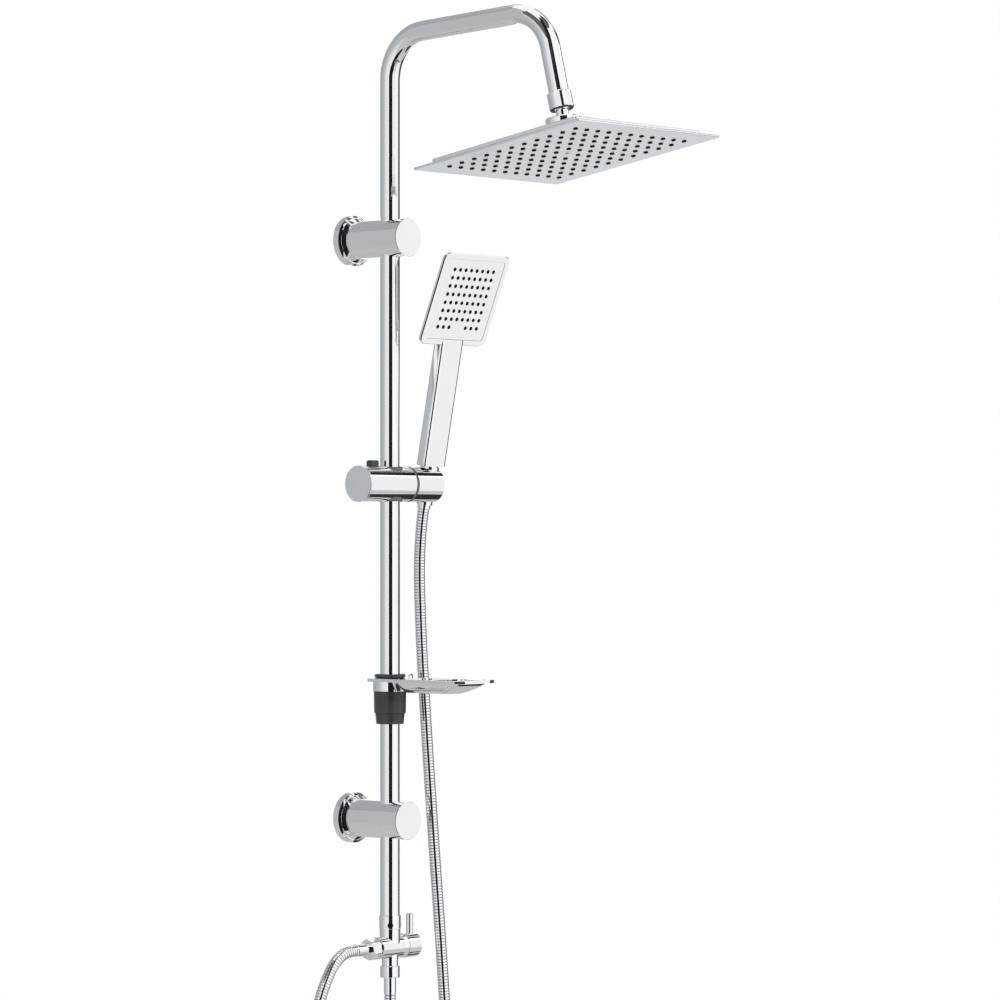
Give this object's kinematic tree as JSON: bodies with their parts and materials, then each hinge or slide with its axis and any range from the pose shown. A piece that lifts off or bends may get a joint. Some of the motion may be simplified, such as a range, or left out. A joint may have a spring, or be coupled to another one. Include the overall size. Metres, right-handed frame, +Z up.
{
  "type": "rainfall shower column",
  "caption": "Wall-mounted rainfall shower column: riser with curved overhead arm, square rain head, sliding hand shower holder, soap dish, diverter and ribbed hoses.",
  "frame": {"origin": "centre of the upper bracket's back face, on the wall plane", "axes": "+Y into the wall, -Y into the room, +Z up along the riser, +X to the right of a viewer who faces the wall"},
  "size_m": [0.2843, 0.4655, 1.6467],
  "materials": {
    "chrome": "mirror polished chrome plate",
    "hose_metal": "bright ribbed metal hose",
    "face_steel": "bright spray face",
    "plated_plastic": "chrome plated plastic",
    "dark_plastic": "dark grey plastic",
    "white_plastic": "plain acetal",
    "brass": "turned brass",
    "zinc_steel": "zinc plated",
    "black_screw": "black oxide",
    "seal_rubber": "black rubber",
    "nozzle_silicone": "soft grey silicone"
  },
  "bodies": {
    "frame": {"riser_tube": "chrome", "overhead_arm": "chrome", "riser_coupling": "brass", "upper_o_ring": "seal_rubber", "lower_o_ring": "seal_rubber", "upper_wall_plate": "zinc_steel", "upper_rose": "chrome", "upper_post": "chrome", "upper_grub_screw": "zinc_steel", "lower_wall_plate": "zinc_steel", "lower_rose": "chrome", "lower_post": "chrome", "lower_grub_screw": "zinc_steel", "arm_end_fitting": "brass", "ball_nut": "chrome", "diverter_collar": "chrome", "collar_grub_screw": "black_screw", "diverter_body": "chrome", "left_hex_nut": "chrome", "left_ferrule": "chrome", "left_washer": "seal_rubber", "supply_top_nut": "chrome", "supply_top_ferrule": "chrome", "supply_washer": "seal_rubber", "hand_hose": "hose_metal", "supply_hose": "hose_metal", "supply_end_ferrule": "chrome", "supply_end_nut": "chrome"},
    "head_seat": {"ball_seat": "white_plastic"},
    "rain_head": {"ball_stem": "chrome", "head_boss": "chrome", "head_back": "plated_plastic", "head_face": "face_steel", "nozzle_mat": "nozzle_silicone", "head_gasket": "seal_rubber", "centre_screw": "zinc_steel"},
    "slider_sleeve": {"slider_bush": "dark_plastic"},
    "slider": {"slider_body": "plated_plastic", "slider_end_disc": "plated_plastic", "tab_spring": "zinc_steel", "clutch_ring": "dark_plastic"},
    "release_tab": {"brake_tab": "dark_plastic"},
    "holder": {"holder_cup": "plated_plastic", "clutch_bolt": "zinc_steel"},
    "hand_shower": {"hand_body": "plated_plastic", "hand_panel": "plated_plastic", "hand_nozzles": "nozzle_silicone", "hand_inlet": "chrome", "hose_cone_nut": "plated_plastic", "hand_washer": "seal_rubber", "hand_ferrule": "chrome"},
    "dish_clamp": {"dish_sleeve": "dark_plastic", "dish_ring": "dark_plastic"},
    "dish": {"soap_dish": "chrome"},
    "valve_knob": {"diverter_knob": "chrome", "lever_pin": "chrome", "diverter_spindle": "brass"}
  },
  "joints": [
    {"name": "head_spin", "type": "hinge", "parent": "frame", "child": "head_seat", "pos_m": [0, -0.33293, 0.14061], "axis": [0, 0.2419, 0.9703], "continuous": true},
    {"name": "head_tilt", "type": "hinge", "parent": "head_seat", "child": "rain_head", "pos_m": [0, -0.33293, 0.14061], "axis": [1, 0, 0], "range_deg": [-19, 9]},
    {"name": "slider_slide", "type": "slide", "parent": "frame", "child": "slider_sleeve", "axis": [0, 0, 1], "range_m": [-0.16, 0.05], "deforming": ["hand_hose"]},
    {"name": "slider_swivel", "type": "hinge", "parent": "slider_sleeve", "child": "slider", "pos_m": [0, -0.065, -0.2915], "axis": [0, 0, 1], "range_deg": [-40, 30], "deforming": ["hand_hose"]},
    {"name": "tab_press", "type": "slide", "parent": "slider", "child": "release_tab", "axis": [0, 0, -1], "range_m": [0, 0.003], "stiffness_N_per_m": 1500, "springref_m": -0.002, "deforming": ["tab_spring"]},
    {"name": "holder_tilt", "type": "hinge", "parent": "slider", "child": "holder", "pos_m": [0.0281, -0.065, -0.2915], "axis": [1, 0, 0], "range_deg": [-3, 40], "deforming": ["hand_hose"]},
    {"name": "hand_lift", "type": "slide", "parent": "holder", "child": "hand_shower", "axis": [0, -0.1959, 0.9806], "range_m": [0, 0.06], "deforming": ["hand_hose"]},
    {"name": "dish_slide", "type": "slide", "parent": "frame", "child": "dish_clamp", "axis": [0, 0, 1], "range_m": [-0.08, 0.08]},
    {"name": "dish_swivel", "type": "hinge", "parent": "dish_clamp", "child": "dish", "pos_m": [0, -0.065, -0.53], "axis": [0, 0, 1], "range_deg": [-45, 45]},
    {"name": "diverter_turn", "type": "hinge", "parent": "frame", "child": "valve_knob", "pos_m": [0.0197, -0.065, -0.841], "axis": [1, 0, 0], "range_deg": [-90, 90]}
  ]
}
